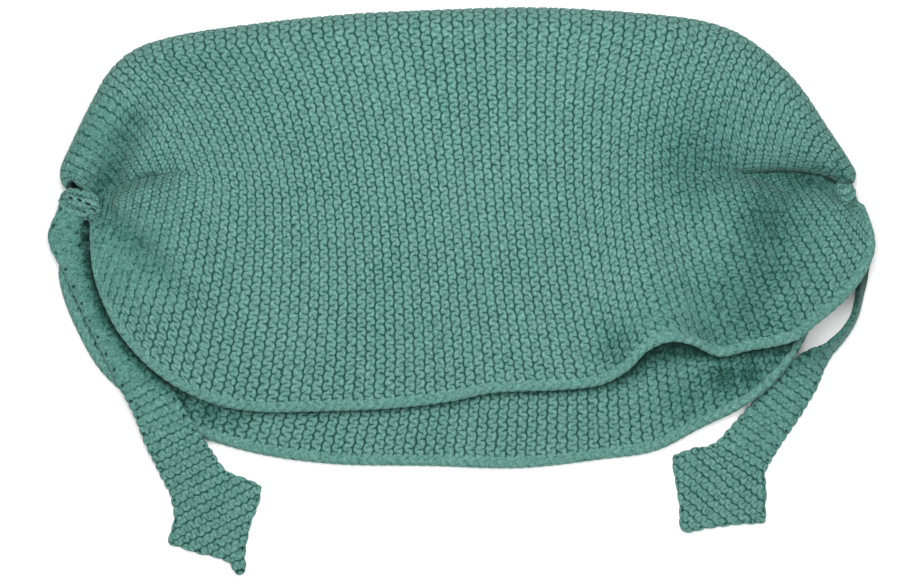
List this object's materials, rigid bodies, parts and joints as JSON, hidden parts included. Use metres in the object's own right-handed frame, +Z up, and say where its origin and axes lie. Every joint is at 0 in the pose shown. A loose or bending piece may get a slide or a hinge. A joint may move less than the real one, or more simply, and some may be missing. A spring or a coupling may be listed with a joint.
{
  "type": "knitted tie-back head cap",
  "caption": "Soft garter-knit cap lying flat, one panel folded over the crown, gathered at both sides into ties with square ends.",
  "frame": {"origin": "centre of the bounding box at its bottom, on the surface the cap lies on", "axes": "+X from the left gather to the right one as seen from above, +Y from the hems towards the crown fold, +Z up from the surface"},
  "size_m": [0.3888, 0.2682, 0.0228],
  "materials": {
    "garter_knit": "matte sea-green cotton yarn in garter stitch",
    "chain_edging": "matte sea-green cotton yarn worked as a rounded chain edging"
  },
  "bodies": {
    "root": {"crown": "garter_knit", "front_edging": "chain_edging", "back_edging": "chain_edging", "left_gather": "chain_edging", "right_gather": "chain_edging", "left_tie": "garter_knit", "right_tie": "garter_knit"}
  },
  "joints": []
}
